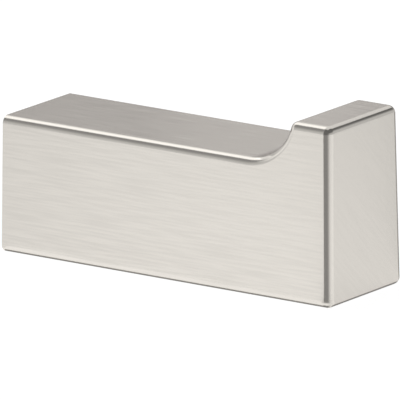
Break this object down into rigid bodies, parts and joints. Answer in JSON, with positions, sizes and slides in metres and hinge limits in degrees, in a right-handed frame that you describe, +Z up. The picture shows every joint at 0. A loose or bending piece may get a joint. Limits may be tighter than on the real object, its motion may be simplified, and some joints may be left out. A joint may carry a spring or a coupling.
{
  "type": "towel hook",
  "caption": "Rectangular wall hook for towels: a satin-brushed metal bar with an upturned, rounded lip, held on a concealed post by a set screw from below.",
  "frame": {"origin": "on the wall plane, on the axis of the wall screw's hole", "axes": "+Z up, +Y into the wall, so the hook reaches out along -Y; X runs across the bar"},
  "size_m": [0.016, 0.05, 0.023],
  "materials": {
    "satin_metal": "satin, brushed along the bar",
    "turned_steel": "turned, bright zinc plate",
    "screw_steel": "plain stainless"
  },
  "bodies": {
    "root": {"hook_body": "satin_metal", "wall_post": "turned_steel", "set_screw": "screw_steel"}
  },
  "joints": []
}
